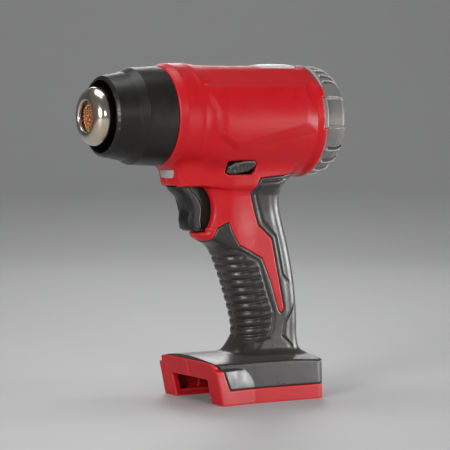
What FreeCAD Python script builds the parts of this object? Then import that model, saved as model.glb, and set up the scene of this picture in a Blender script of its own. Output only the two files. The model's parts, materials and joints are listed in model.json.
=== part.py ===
"""Cordless heat gun, bare tool for a slide-on battery pack. Millimetres.

Frame: origin on the ground under the middle of the tool, nozzle towards -X, +Z up.
The tool is symmetric about the plane Y = 0, where its two housing halves meet.
"""
import FreeCAD, Part
import math
import os
import re

import Sketcher
from FreeCAD import Placement, Rotation, Vector

doc = FreeCAD.newDocument("heat_gun")
sheet = doc.addObject("Spreadsheet::Sheet", "dims")

# Driving dimensions: alias, value, meaning.
DIMENSIONS = [
    ("axis_z", 178, "height of the nozzle, heater and motor axis"),
    ("rear_z", 175, "height of the rear barrel's own axis"),
    ("nozzle_front", -84.65, "X of the outlet's front edge"),
    ("nozzle_rear", -50, "X of the nozzle's rear edge"),
    ("nozzle_radius", 18, "outside of the nozzle's parallel stretch"),
    ("nozzle_turn", 6.9, "radius of the nozzle's rounded front"),
    ("nozzle_wall", 0.8, "sheet thickness of the nozzle"),
    ("outlet_radius", 9.3, "hot air outlet"),
    ("neck_radius", 16.9, "outside of the nozzle inside the collar"),
    ("collar_front", -74.65, "X of the collar's lip"),
    ("collar_rear", -36, "X where the collar meets the barrel"),
    ("collar_lip", 22.3, "inner radius of the collar's lip"),
    ("collar_radius", 30.9, "largest radius of the collar"),
    ("tube_radius", 15.9, "outside of the heater tube"),
    ("tube_front", -70, "X of the heater tube's front end"),
    ("tube_rear", -18, "X of the heater tube's rear end"),
    ("ring_radius", 32.7, "radius of the red ring at the front of the barrel"),
    ("barrel_radius", 36.3, "radius of the rear barrel"),
    ("barrel_top", 209.4, "height of the barrel's flat top"),
    ("barrel_rear", 67.5, "X where the red barrel ends"),
    ("cap_rear", 84.65, "X of the rear cap's flat face"),
    ("cap_radius", 35.5, "radius of the rear cap at the barrel"),
    ("wall", 2.8, "wall of the housing"),
    ("skin", 1.2, "thickness of the moulded grip skins"),
    ("chin_half", 14, "half width of the chin under the barrel"),
    ("grip_half", 16.5, "half width of the grip"),
    ("foot_front_half", 35.5, "half width of the foot at its front"),
    ("foot_rear_half", 31, "half width of the foot at its rear"),
    ("foot_top", 28, "height of the foot"),
    ("foot_rear", 68.1, "X of the foot's rear face"),
    ("skirt_top", 9.3, "height of the red skirt round the foot"),
    ("mouth_half", 23, "half width of the battery mouth"),
    ("mouth_top", 14.6, "height of the battery mouth"),
    ("mouth_rear", 50, "X of the battery mouth's rear stop"),
    ("rail_depth", 3, "how far the rail grooves go into the legs"),
    ("duct_radius", 20.5, "outside of the air duct round the motor"),
    ("motor_radius", 13, "outside of the motor can"),
    ("motor_front", 22, "X of the motor can's front"),
    ("motor_rear", 48, "X of the motor can's rear"),
    ("shaft_radius", 1.6, "motor shaft"),
    ("shaft_fit", 0.03, "radial running clearance of the shaft in its bushes"),
    ("fan_radius", 24, "radius of the fan's blade tips"),
    ("fan_front", 55, "X of the fan's front face"),
    ("fan_depth", 9, "length of the fan along its axis"),
    ("fan_blades", 9, "number of fan blades"),
    ("blade_pitch", 35, "angle of the blades to the axis, degrees"),
    ("trigger_half", 8, "half width of the trigger"),
    ("trigger_gap", 0.4, "clearance round the trigger in its opening"),
    ("trigger_rear", 0.5, "X of the trigger skirt's rear face"),
    ("trigger_travel", 6.5, "travel of the trigger"),
    ("plunger_z", 119, "height of the switch plunger"),
    ("plunger_radius", 2.5, "radius of the switch plunger"),
    ("switch_front", 12, "X of the switch body's front"),
    ("shuttle_z", 146, "height of the lock shuttle"),
    ("shuttle_half", 21.5, "half length of the lock shuttle"),
    ("screw_radius", 1.4, "radius of the housing screws' shank"),
    ("screw_head", 2.8, "radius of the housing screws' head"),
]

for row, (alias, value, meaning) in enumerate(DIMENSIONS, start=1):
    sheet.set(f"A{row}", meaning)
    sheet.set(f"B{row}", str(value))
    sheet.setAlias(f"B{row}", alias)
doc.recompute()

nodes = {}


def keep(obj, name):
    """Count an object as a sub-part of the tool."""
    obj.Label = name
    nodes[name] = obj
    return obj


def bound(rule):
    """A rule of dimensions and numbers, as an expression on the sheet."""
    return re.sub(r"\b(?!abs\b)[a-z][a-z_]+", r"dims.\g<0>", str(rule))


def size(rule):
    """The number that a rule gives now."""
    return float(sheet.evalExpression(bound(rule)))


def plane(body, role):
    return next(f for f in body.Origin.OriginFeatures if f.Role == role)


def new_body(name, kept=True):
    body = doc.addObject("PartDesign::Body", name)
    return keep(body, name) if kept else body


def outline(body, role, corners, shift=None, name="outline"):
    """A closed, fully sized sketch through corners, each (across, up[, arc radius]).

    An arc radius makes the edge that ends at that corner an arc. A positive one
    bulges to the left of the way from corner to corner, a negative one to the right.
    """
    sk = body.newObject("Sketcher::SketchObject", f"{body.Name}_{name}")
    sk.AttachmentSupport = [(plane(body, role), "")]
    sk.MapMode = "FlatFace"
    for axis, rule in (shift or {}).items():
        sk.setExpression(f"AttachmentOffset.Base.{axis}", bound(rule))
    points = [Vector(size(c[0]), size(c[1]), 0) for c in corners]
    count = len(corners)
    for i in range(count):
        start, end = points[i - 1], points[i]
        bend = corners[i][2] if len(corners[i]) > 2 else None
        if bend is None:
            sk.addGeometry(Part.LineSegment(start, end), False)
        else:
            sk.addGeometry(Part.ArcOfCircle(start, arc_middle(start, end, size(bend)), end), False)
    rules = []
    for i in range(count):
        ends_here = end_vertex(sk, i, points[i])
        after = (i + 1) % count
        starts_here = 3 - end_vertex(sk, after, points[after])
        sk.addConstraint(Sketcher.Constraint("Coincident", i, ends_here, after, starts_here))
        for kind, rule in (("DistanceX", corners[i][0]), ("DistanceY", corners[i][1])):
            index = sk.addConstraint(Sketcher.Constraint(kind, -1, 1, i, ends_here, size(rule)))
            rules.append((index, rule))
        if len(corners[i]) > 2:
            radius = Sketcher.Constraint("Radius", i, abs(size(corners[i][2])))
            rules.append((sk.addConstraint(radius), f"abs({corners[i][2]})"))
    for index, rule in rules:
        sk.setExpression(f"Constraints[{index}]", bound(rule))
    return sk


def end_vertex(sk, index, point):
    """Which end of a sketch edge, 1 or 2, lies on point: an arc may run backwards."""
    return 2 if sk.getPoint(index, 2).distanceToPoint(point) < 1e-6 else 1


def arc_middle(start, end, radius):
    """The middle point of the minor arc of this radius from start to end."""
    chord = end - start
    half = chord.Length / 2
    rise = abs(radius) - math.sqrt(max(radius**2 - half**2, 0))
    left = Vector(-chord.y, chord.x, 0).normalize()
    return (start + end) / 2 + left * math.copysign(rise, radius)


def turned(name, corners, axis="axis_z", kept=True):
    """A body turned about the nozzle's axis from (X, radius) corners."""
    body = new_body(name, kept)
    sk = outline(body, "XZ_Plane", corners, {"y": axis})
    turn = body.newObject("PartDesign::Revolution", f"{name}_turn")
    turn.Profile = sk
    turn.ReferenceAxis = (sk, ["H_Axis"])
    turn.Angle = 360
    return body


def ring(name, front, rear, inner, outer, kept=True):
    return turned(name, [(front, inner), (rear, inner), (rear, outer), (front, outer)], kept=kept)


def slab(name, corners, half_width):
    """A plate of an (X, Z) outline, as thick to each side of Y = 0 as half_width."""
    body = new_body(name)
    sk = outline(body, "XZ_Plane", corners)
    pad = body.newObject("PartDesign::Pad", f"{name}_pad")
    pad.Profile = sk
    pad.Midplane = True
    pad.setExpression("Length", bound(f"2 * ({half_width})"))
    return body


def block(name, low, high):
    """A Part::Box between two corners, each three rules."""
    box = doc.addObject("Part::Box", name)
    for key, a, b in zip(("Length", "Width", "Height"), low, high):
        box.setExpression(key, bound(f"({b}) - ({a})"))
    for key, a in zip("xyz", low):
        box.setExpression(f"Placement.Base.{key}", bound(a))
    return box


def rod(name, radius, length, place, direction):
    """A Part::Cylinder from place, three rules, along direction."""
    cylinder = doc.addObject("Part::Cylinder", name)
    cylinder.Placement = Placement(Vector(), Rotation(Vector(0, 0, 1), Vector(*direction)))
    cylinder.setExpression("Radius", bound(radius))
    cylinder.setExpression("Height", bound(length))
    for key, rule in zip("xyz", place):
        cylinder.setExpression(f"Placement.Base.{key}", bound(rule))
    return cylinder


def joined(name, pieces):
    fuse = doc.addObject("Part::MultiFuse", name)
    fuse.Shapes = pieces
    return keep(fuse, name)


def cut(name, base, tool):
    result = doc.addObject("Part::Cut", name)
    result.Base = base
    result.Tool = tool
    return keep(result, name)


def feature(name, shape):
    """A sub-part whose shape comes from Part's own functions."""
    obj = doc.addObject("Part::Feature", name)
    obj.Shape = shape
    return keep(obj, name)


def box(low, high):
    """A plain box shape between two corners."""
    span = [b - a for a, b in zip(low, high)]
    return Part.makeBox(*span, Vector(*low))


def prism(corners, low_y, high_y):
    """A solid of an (X, Z) outline between two Y planes."""
    points = [Vector(x, low_y, z) for x, z in corners]
    face = Part.Face(Part.makePolygon(points + points[:1]))
    return face.extrude(Vector(0, high_y - low_y, 0))


def lathe(corners, axis_height):
    """A solid turned about a line along X from (X, radius) corners."""
    points = [Vector(x, 0, axis_height + r) for x, r in corners]
    face = Part.Face(Part.makePolygon(points + points[:1]))
    return face.revolve(Vector(0, 0, axis_height), Vector(1, 0, 0), 360)


def coil(front, rear, count, coil_radius, wire_radius, height):
    """Closed turns of wire, evenly spaced along X and centred on a line at height."""
    pitch = (rear - front) / (count - 1)
    turns = [
        Part.makeTorus(coil_radius, wire_radius, Vector(front + pitch * turn, 0, height), Vector(1, 0, 0))
        for turn in range(count)
    ]
    return Part.makeCompound(turns)


def oval(z, front, rear, half, corner):
    """A rounded rectangle at height z, as a wire."""
    wire_edges = []
    centres = [
        (rear - corner, half - corner, 0),
        (front + corner, half - corner, 90),
        (front + corner, corner - half, 180),
        (rear - corner, corner - half, 270),
    ]
    arcs = []
    for x, y, turn in centres:
        points = [
            Vector(x + corner * math.cos(math.radians(a)), y + corner * math.sin(math.radians(a)), z)
            for a in (turn, turn + 45, turn + 90)
        ]
        arcs.append(Part.Arc(*points))
    for arc, following in zip(arcs, arcs[1:] + arcs[:1]):
        wire_edges.append(arc.toShape())
        wire_edges.append(Part.LineSegment(arc.EndPoint, following.StartPoint).toShape())
    return Part.Wire(wire_edges)


# ---------------------------------------------------------------- the housing's outer form

# The grip at chosen heights: (height, front X, rear X, half width beyond the grip's own).
GRIP_STATIONS = [
    (20, 12.0, 66.0, 0),
    (30, 14.5, 65.0, 0),
    (37, 19.5, 63.4, 0),
    (46, 20.0, 63.3, 0),
    (60, 16.8, 62.5, 0),
    (72.5, 12.3, 61.0, 0),
    (85.5, 7.8, 58.7, 0),
    (98, 1.6, 56.0, 0),
    (106, -1.5, 53.6, 0),
    (113, -3.4, 51.8, 0.5),
    (122, -4.0, 49.6, 1.5),
    (130, -4.0, 50.6, 2.5),
    (134, -4.0, 55.0, 3),
    (138, -6.0, 62.0, 3.5),
    (152, -12.0, 66.0, 4.5),
]
GRIP_CORNER = 12


def barrel_form(inset):
    """The front ring, the slope behind it and the rear barrel with its flat top."""
    axis, rear_axis = size("axis_z"), size("rear_z")
    ring_form = lathe(
        [
            (-35.5, 0),
            (-35.5, 30.6 - inset),
            (-30.5, size("ring_radius") - inset),
            (-18.5, size("ring_radius") - inset),
            (-18.5, 0),
        ],
        axis,
    )
    along = Vector(1, 0, 0)
    small = Part.makeCircle(size("ring_radius") - inset, Vector(-18.5, 0, axis), along)
    large = Part.makeCircle(size("barrel_radius") - inset, Vector(-8, 0, rear_axis), along)
    slope = Part.makeLoft([Part.Wire(small), Part.Wire(large)], True, True)
    length = size("barrel_rear") + 8
    rear = Part.makeCylinder(size("barrel_radius") - inset, length, Vector(-8, 0, rear_axis), along)
    top = size("barrel_top") - inset
    below = box((-40, -50, 100), (80, 50, top))
    return ring_form.fuse([slope.common(below), rear.common(below)])


def chin_form(inset):
    """The block under the barrel's front that carries the work light."""
    corners = [
        (-31 + inset, 165),
        (-31 + inset, 139 + inset),
        (-28 + inset, 133.5 + inset),
        (4, 133.5 + inset),
        (4, 165),
    ]
    half = size("chin_half") - inset
    return prism(corners, -half, half)


def grip_form(inset):
    half = size("grip_half")
    wires = [
        oval(z, front + inset, rear - inset, half + extra - inset, GRIP_CORNER - inset)
        for z, front, rear, extra in GRIP_STATIONS
    ]
    return Part.makeLoft(wires, True, True)


def hook_form():
    """The small hook of the housing under the trigger."""
    corners = [(-8.9, 105.6), (-8.2, 102.5), (-2.4, 99.8), (6, 97), (6, 105.6)]
    half = size("chin_half") - 1
    return prism(corners, -half, half)


def foot_form(inset, low):
    """The battery foot: raked front, sides closing in slightly towards the rear."""
    front_half = size("foot_front_half") - inset
    rear_half = size("foot_rear_half") - inset
    rear = size("foot_rear") - inset
    side = prism(
        [(-9 + inset, low), (-14.8 + inset, size("foot_top") - inset), (rear, size("foot_top") - inset), (rear, low)],
        -50,
        50,
    )
    plan = [(-20, -front_half), (rear + 1, -rear_half), (rear + 1, rear_half), (-20, front_half)]
    points = [Vector(x, y, -1) for x, y in plan]
    face = Part.Face(Part.makePolygon(points + points[:1]))
    return side.common(face.extrude(Vector(0, 0, 40)))


def outer_form():
    return barrel_form(0).fuse([chin_form(0), grip_form(0), hook_form(), foot_form(0, 0)])


def hollow_form():
    """What is open inside the housing: barrel, chin, grip and the room over the battery."""
    wall = size("wall")
    hollow = barrel_form(wall).fuse([chin_form(wall), grip_form(wall)])
    floor = size("mouth_top") + 2
    room = foot_form(wall, floor).common(box((-6, -50, floor), (80, 50, 40)))
    rear_room = foot_form(wall, wall).common(box((53, -50, wall), (80, 50, 20)))
    ends = [
        Part.makeCylinder(28.1, 10, Vector(-38, 0, size("axis_z")), Vector(1, 0, 0)),
        Part.makeCylinder(
            size("barrel_radius") - wall, 10, Vector(60, 0, size("rear_z")), Vector(1, 0, 0)
        ).common(box((60, -50, 100), (70, 50, size("barrel_top") - wall))),
    ]
    inside = hollow.fuse(ends).cut(box((-60, -60, -1), (90, 60, floor)))
    return inside.fuse([room, rear_room])


def battery_mouth():
    """The open mouth for the battery pack, with a rail groove in each leg."""
    half, top, rear = size("mouth_half"), size("mouth_top"), size("mouth_rear")
    deep = half + size("rail_depth")
    mouth = box((-30, -half, -1), (rear, half, top))
    return mouth.fuse(box((-30, -deep, 4), (rear, deep, 9)))


# The moulded skins' outlines in (X, Z), and the foot cover's.
FRONT_SKIN = [(-6, 96.8), (0.5, 96.8), (7.4, 112.2), (14.6, 97.6), (31.4, 88.9),
              (44, 54.2), (42, 40), (33, 31), (8, 31), (8, 60), (-6, 92)]
REAR_SKIN = [(72, 137), (27.7, 137), (22.6, 129.9), (29.2, 109.7), (38, 101.3), (47, 56.6),
             (46, 40), (50, 31), (75, 31), (75, 133)]
FOOT_COVER = [(12, size("skirt_top")), (2, 29), (70, 29), (70, size("skirt_top"))]


def skin_pockets():
    """The room that each overmoulded skin takes, open to the outside."""
    core = grip_form(size("skin"))
    foot_core = foot_form(size("skin"), -1)
    return {
        "front_grip": prism(FRONT_SKIN, -40, 40).cut(core),
        "rear_grip": prism(REAR_SKIN, -40, 40).cut([core, barrel_form(0)]),
        "foot_cover": prism(FOOT_COVER, -40, 40).cut([foot_core, grip_form(0)]),
    }


# The housing screws, in (X, Z).
SCREW_PLACES = [(-22, 202.5), (40, 203.5), (-20, 152), (40, 148), (8, 98), (21.5, 66), (30, 36), (60, 14), (-4, 22)]
BOSS_RADIUS = 4.4
HEAD_SEAT = 6
SCREW_DEPTH = 11


def across(x, z, radius, low_y, high_y):
    return Part.makeCylinder(radius, high_y - low_y, Vector(x, low_y, z), Vector(0, 1, 0))


def housing():
    """Both halves of the housing, with bosses, screw holes and every opening."""
    outer = outer_form()
    shell = outer.cut(hollow_form())
    bosses = [across(x, z, BOSS_RADIUS, -45, 45).common(outer) for x, z in SCREW_PLACES]
    shell = shell.fuse(bosses)
    gap = size("trigger_gap")
    trigger_half = size("trigger_half") + gap
    shuttle = size("shuttle_z")
    openings = [
        battery_mouth(),
        box((-40, -trigger_half, 105.8), (size("trigger_rear + trigger_travel + 1"), trigger_half, 133.5)),
        box((2.6, -50, shuttle - 4.4), (23.4, 50, shuttle + 4.4)),
        box((-40, -10.6, 139.4), (-28, 10.6, 145.1)),
        box((35.9, -9.1, 207.4), (62.1, 9.1, 215)),
    ]
    shank = size("screw_radius")
    for x, z in SCREW_PLACES:
        openings.append(across(x, z, shank + 0.05, -SCREW_DEPTH, 0))
        openings.append(across(x, z, shank + 0.3, 0, HEAD_SEAT))
        openings.append(across(x, z, size("screw_head") + 0.2, HEAD_SEAT, 50))
    shell = shell.cut(openings)
    return shell.cut(list(skin_pockets().values()))


def left(shape):
    return shape.common(box((-100, -60, -10), (100, 0, 230)))


def right(shape):
    return shape.common(box((-100, 0, -10), (100, 60, 230)))


def in_halves(name, shape):
    feature(f"{name}_left", left(shape))
    feature(f"{name}_right", right(shape))


# ---------------------------------------------------------------- hot end


def build_nozzle():
    inner = "nozzle_radius - nozzle_wall"
    turn = "nozzle_turn - nozzle_wall"
    turned("nozzle", [
        ("nozzle_front + 0.6", "outlet_radius"),
        ("nozzle_front + 1.4", "outlet_radius"),
        ("nozzle_front + nozzle_wall", "nozzle_radius - nozzle_turn"),
        ("nozzle_front + nozzle_turn", inner, turn),
        ("-70", inner),
        ("-66.2", "neck_radius - nozzle_wall"),
        ("nozzle_rear", "neck_radius - nozzle_wall"),
        ("nozzle_rear", "neck_radius"),
        ("-66", "neck_radius"),
        ("-69.75", "nozzle_radius"),
        ("nozzle_front + nozzle_turn", "nozzle_radius"),
        ("nozzle_front", "nozzle_radius - nozzle_turn", "-nozzle_turn"),
    ])


def build_collar():
    turned("collar", [
        ("collar_front", "collar_lip"),
        ("-60", "24.1"),
        ("-55", "26.6"),
        ("collar_rear - 2", "26.4"),
        ("-30", "25.4"),
        ("-30", "28"),
        ("collar_rear", "28"),
        ("collar_rear", "collar_radius"),
        ("-55", "29.9"),
        ("-60", "27.3"),
        ("-73", "24.8"),
        ("collar_front + 0.3", "collar_lip + 0.8"),
    ])


def build_heater():
    ring("heater_tube", "tube_front", "tube_rear", "tube_radius - 0.5", "tube_radius")
    ring("mica_sleeve", "-68", "-22", "14.8", "tube_radius - 0.6")
    ring("heater_flange", "-33.5", "-30.5", "tube_radius + 0.05", "25.3")

    fins = []
    for turn in (0, 45, 90, 135):
        fin = box((-66, -11.2, -0.4), (-26, 11.2, 0.4))
        fin.rotate(Vector(), Vector(1, 0, 0), turn)
        fins.append(fin)
    core = fins[0].fuse(fins[1:])
    core.translate(Vector(0, 0, size("axis_z")))
    feature("mica_core", core)

    feature("heating_coil", coil(-64, -28, 9, 12.6, 0.6, size("axis_z")))

    fuse = rod("thermal_fuse", "1.8", "11", ("-14", "0", "axis_z - 12"), (1, 0, 0))
    keep(fuse, "thermal_fuse")
    button = rod("thermostat_button", "3.2", "2.5", ("-10", "0", "axis_z + 11.5"), (0, 0, 1))
    foot = block("thermostat_base", ("-14", "-4", "axis_z + 14"), ("-6", "4", "axis_z + 15.3"))
    joined("thermostat", [button, foot])


# ---------------------------------------------------------------- air path and motor


def build_air_path():
    turned("air_duct", [
        ("-17.9", "16.1"),
        ("0", "16.1"),
        ("20", "duct_radius - 1.5"),
        ("52", "duct_radius - 1.5"),
        ("52", "duct_radius"),
        ("20", "duct_radius"),
        ("0", "17.6"),
        ("-17.9", "17.6"),
    ])
    turned("fan_shroud", [
        ("52.1", "duct_radius - 1.5"),
        ("53.6", "duct_radius - 1.5"),
        ("53.6", "fan_radius + 1"),
        ("67", "fan_radius + 1"),
        ("67", "fan_radius + 2.5"),
        ("52.1", "fan_radius + 2.5"),
    ])
    grip_ring = ring("motor_mount_ring", "28", "42", "motor_radius + 0.05", "motor_radius + 1.4", kept=False)
    vanes = []
    for index, turn in enumerate((45, 135, 225, 315)):
        vane = doc.addObject("Part::Box", f"vane_{index}")
        vane.Length = 14
        vane.Width = 1.2
        vane.setExpression("Height", bound("duct_radius - 1.6 - motor_radius - 1"))
        about = Rotation(Vector(1, 0, 0), turn)
        reach = size("motor_radius") + 1
        vane.Placement = Placement(Vector(28, 0, size("axis_z")) + about.multVec(Vector(0, -0.6, reach)), about)
        vanes.append(vane)
    joined("motor_mount", [grip_ring] + vanes)


def build_motor():
    turned("motor_can", [
        ("motor_front", "2.8"),
        ("motor_front + 1", "2.8"),
        ("motor_front + 1", "motor_radius - 1"),
        ("motor_rear", "motor_radius - 1"),
        ("motor_rear", "motor_radius"),
        ("motor_front", "motor_radius"),
    ])
    magnets = Part.makeCylinder(11.9, 16, Vector(27, 0, 0), Vector(1, 0, 0))
    magnets = magnets.cut(Part.makeCylinder(9.9, 18, Vector(26, 0, 0), Vector(1, 0, 0)))
    magnets = magnets.cut(box((20, -14, -3), (50, 14, 3)))
    magnets.translate(Vector(0, 0, size("axis_z")))
    feature("motor_magnets", magnets)

    shaft = "shaft_radius"
    ring("motor_shaft", "19", "fan_front + fan_depth + 1", "0", shaft)
    ring("front_bush", "motor_front - 2", "motor_front + 2", f"{shaft} + shaft_fit", "2.75")
    ring("rear_bush", "motor_rear + 0.5", "motor_rear + 4", f"{shaft} + shaft_fit", "2.75")
    turned("motor_end_cap", [
        ("motor_rear + 0.1", "2.8"),
        ("motor_rear + 3", "2.8"),
        ("motor_rear + 3", "motor_radius"),
        ("motor_rear + 0.1", "motor_radius"),
    ])

    rotor = new_body("rotor")
    sk = outline(rotor, "XZ_Plane", [("28", shaft), ("41", shaft), ("41", "9"), ("28", "9")], {"y": "axis_z"})
    turn = rotor.newObject("PartDesign::Revolution", "rotor_turn")
    turn.Profile = sk
    turn.ReferenceAxis = (sk, ["H_Axis"])
    turn.Angle = 360
    slot = outline(rotor, "YZ_Plane", [("-0.8", "5"), ("0.8", "5"), ("0.8", "10"), ("-0.8", "10")],
                   {"y": "axis_z"}, "slot")
    winding = rotor.newObject("PartDesign::Pocket", "rotor_slot")
    winding.Profile = slot
    winding.Type = "ThroughAll"
    winding.Midplane = True
    rotor.Tip = winding
    doc.recompute()
    slots = rotor.newObject("PartDesign::PolarPattern", "rotor_slots")
    slots.Originals = [winding]
    slots.Axis = (sk, ["H_Axis"])
    slots.Angle = 360
    slots.Occurrences = 5
    rotor.Tip = slots

    ring("commutator", "44", "47", shaft, "3.6")
    brushes = [
        block("brush_left", ("44.3", "-8", "axis_z - 1.5"), ("46.7", "-3.9", "axis_z + 1.5")),
        block("brush_right", ("44.3", "3.9", "axis_z - 1.5"), ("46.7", "8", "axis_z + 1.5")),
        block("holder_left", ("44", "-9.5", "axis_z - 2.5"), ("motor_rear", "-8", "axis_z + 2.5")),
        block("holder_right", ("44", "8", "axis_z - 2.5"), ("motor_rear", "9.5", "axis_z + 2.5")),
    ]
    joined("carbon_brushes", brushes)


def build_fan():
    fan = new_body("fan_impeller")
    hub_sk = outline(fan, "XZ_Plane", [
        ("fan_front", "shaft_radius"),
        ("fan_front + fan_depth", "shaft_radius"),
        ("fan_front + fan_depth", "5"),
        ("fan_front", "7"),
    ], {"y": "axis_z"}, "hub")
    hub = fan.newObject("PartDesign::Revolution", "fan_hub")
    hub.Profile = hub_sk
    hub.ReferenceAxis = (hub_sk, ["H_Axis"])
    hub.Angle = 360
    doc.recompute()

    pitch = math.radians(size("blade_pitch"))
    middle = size("fan_front + fan_depth / 2")
    half_chord = 4.9
    thickness = 1.1
    along = Vector(math.cos(pitch), math.sin(pitch), 0) * half_chord
    aside = Vector(-math.sin(pitch), math.cos(pitch), 0) * thickness / 2
    centre = Vector(middle, 0, 0)
    corners = [centre - along - aside, centre + along - aside, centre + along + aside, centre - along + aside]
    sk = outline(fan, "XY_Plane", [(p.x, p.y) for p in corners], {"z": "axis_z + 4"}, "blade")
    blade = fan.newObject("PartDesign::Pad", "fan_blade")
    blade.Profile = sk
    blade.setExpression("Length", bound("fan_radius - 4.2"))
    fan.Tip = blade
    doc.recompute()
    blades = fan.newObject("PartDesign::PolarPattern", "fan_blades_round")
    blades.Originals = [blade]
    blades.Axis = (hub_sk, ["H_Axis"])
    blades.Angle = 360
    blades.setExpression("Occurrences", bound("fan_blades"))
    fan.Tip = blades


def build_rear_cap():
    """A domed cup with intake slots round its side and across its rear face."""
    cap = turned("rear_cap", [
        ("barrel_rear + 0.1", "cap_radius"),
        ("cap_rear - 5", "cap_radius - 1.5"),
        ("cap_rear", "cap_radius - 5.5"),
        ("cap_rear", "0"),
        ("cap_rear - 2.5", "0"),
        ("cap_rear - 2.5", "cap_radius - 8"),
        ("cap_rear - 6", "cap_radius - 4"),
        ("barrel_rear + 0.1", "cap_radius - 3"),
    ], "rear_z")
    doc.recompute()
    turn_axis = (doc.getObject("rear_cap_outline"), ["H_Axis"])
    slot = outline(cap, "XY_Plane", [
        ("barrel_rear + 4", "-1.3"),
        ("cap_rear - 6.5", "-1.3"),
        ("cap_rear - 6.5", "1.3"),
        ("barrel_rear + 4", "1.3"),
    ], {"z": "rear_z"}, "side_slot")
    vent = cap.newObject("PartDesign::Pocket", "side_slot_cut")
    vent.Profile = slot
    vent.Length = 60
    vent.Reversed = True
    cap.Tip = vent
    doc.recompute()
    vents = cap.newObject("PartDesign::PolarPattern", "side_slots")
    vents.Originals = [vent]
    vents.Axis = turn_axis
    vents.Angle = 360
    vents.Occurrences = 24
    cap.Tip = vents
    doc.recompute()
    row = outline(cap, "YZ_Plane", [("-17", "-1.2"), ("17", "-1.2"), ("17", "1.2"), ("-17", "1.2")],
                  {"y": "rear_z - 12.5"}, "rear_slot")
    grille = cap.newObject("PartDesign::Pocket", "rear_slot_cut")
    grille.Profile = row
    grille.Length = 120
    grille.Reversed = True
    cap.Tip = grille
    doc.recompute()
    rows = cap.newObject("PartDesign::LinearPattern", "rear_slots")
    rows.Originals = [grille]
    rows.Direction = (row, ["V_Axis"])
    rows.Length = 25
    rows.Occurrences = 6
    cap.Tip = rows


def build_intake_screen():
    """A thin dust screen in front of the fan."""
    axis = size("rear_z")
    rim_radius, front, depth = 32, 69.2, 1.2
    disc = Part.makeCylinder(rim_radius, depth, Vector(front, 0, axis), Vector(1, 0, 0))
    rim = disc.cut(Part.makeCylinder(rim_radius - 2, 5, Vector(front - 1, 0, axis), Vector(1, 0, 0)))
    bars = []
    for step in range(-4, 5):
        bars.append(box((front, step * 6.2 - 0.5, axis - 40), (front + depth, step * 6.2 + 0.5, axis + 40)))
        bars.append(box((front, -40, axis + step * 6.2 - 0.5), (front + depth, 40, axis + step * 6.2 + 0.5)))
    feature("intake_screen", rim.fuse([bar.common(disc) for bar in bars]))


# ---------------------------------------------------------------- controls


def build_trigger():
    """Finger lever with a hollow face, and the skirt that closes its opening."""
    slab("trigger", [
        ("-25.7", "133"),
        ("-25.7", "131.6"),
        ("-20.9", "129"),
        ("-18", "124.6"),
        ("-16.5", "119.6"),
        ("-17.3", "112"),
        ("-16.5", "109"),
        ("-13.7", "106.6"),
        ("trigger_rear", "106.6"),
        ("trigger_rear", "133"),
    ], "trigger_half")


def build_switch():
    switch = block("switch_block", ("switch_front", "-8", "108"), ("34", "8", "130"))
    bore = rod("switch_bore", "plunger_radius + 0.15", "12", ("switch_front - 1", "0", "plunger_z"), (1, 0, 0))
    cut("switch_body", switch, bore)
    plunger = rod("switch_plunger", "plunger_radius", "13.9", ("trigger_rear + 0.1", "0", "plunger_z"), (1, 0, 0))
    keep(plunger, "switch_plunger")
    feature("trigger_spring", coil(1.2, 11.3, 6, 3.8, 0.4, size("plunger_z")))


def build_lock_shuttle():
    """A bar across the tool; its two ends are the finger pads."""
    slab("lock_shuttle", [
        ("5", "shuttle_z - 4"),
        ("21", "shuttle_z - 4"),
        ("23", "shuttle_z - 2"),
        ("23", "shuttle_z + 2"),
        ("21", "shuttle_z + 4"),
        ("5", "shuttle_z + 4"),
        ("3", "shuttle_z + 2"),
        ("3", "shuttle_z - 2"),
    ], "shuttle_half")


def build_light():
    lens = chin_form(0).cut(chin_form(2.4)).common(box((-32, -10.5, 139.5), (-28.5, 10.5, 145)))
    feature("led_lens", lens)
    board = block("led_plate", ("-27.4", "-9", "142.2"), ("-26.2", "9", "148.5"))
    chip = block("led_chip", ("-28.2", "-2", "142.4"), ("-27.4", "2", "144.6"))
    joined("led_board", [board, chip])


# ---------------------------------------------------------------- electrics in the foot


def build_electrics():
    plate = block("board_plate", ("6", "-20", "18"), ("52", "20", "19.6"))
    parts = [
        block("board_relay", ("42", "-18", "19.6"), ("51", "-6", "24.5")),
        block("board_sink", ("40", "6", "19.6"), ("51", "16", "25")),
        block("board_chip", ("10", "-6", "19.6"), ("20", "6", "21")),
    ]
    joined("control_board", [plate] + parts)

    keep(block("terminal_block", ("26", "-14", "5.5"), ("49.9", "14", "mouth_top")), "terminal_block")
    blades = []
    for index, y in enumerate((-11, -5, 5, 11)):
        blades.append(block(f"blade_{index}", ("12", str(y - 0.4), "7"), ("26", str(y + 0.4), "13")))
    blade_group = doc.addObject("Part::Compound", "terminal_blades")
    blade_group.Links = blades
    keep(blade_group, "terminal_blades")

    foot_end, switch_end = Vector(40.5, 0, 20), Vector(20, 0, 107.5)
    leads = []
    for y in (-4, 4):
        start = foot_end + Vector(0, y, 0)
        run = switch_end - foot_end
        leads.append(Part.makeCylinder(1.2, run.Length, start, run))
    feature("power_leads", Part.makeCompound(leads))


def build_screws():
    shank, head = size("screw_radius"), size("screw_head")
    screws = []
    for x, z in SCREW_PLACES:
        screw = across(x, z, shank, 0.5 - SCREW_DEPTH, HEAD_SEAT)
        screw = screw.fuse(across(x, z, head, HEAD_SEAT, HEAD_SEAT + 2))
        screws.append(screw.cut(across(x, z, 1.1, HEAD_SEAT + 0.8, HEAD_SEAT + 3)))
    feature("housing_screws", Part.makeCompound(screws))


def build_top_insert():
    slab("top_insert", [
        ("36", "207.5"), ("62", "207.5"), ("62", "209.6"), ("60", "210.7"), ("38", "210.7"), ("36", "209.6"),
    ], "9")


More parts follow.
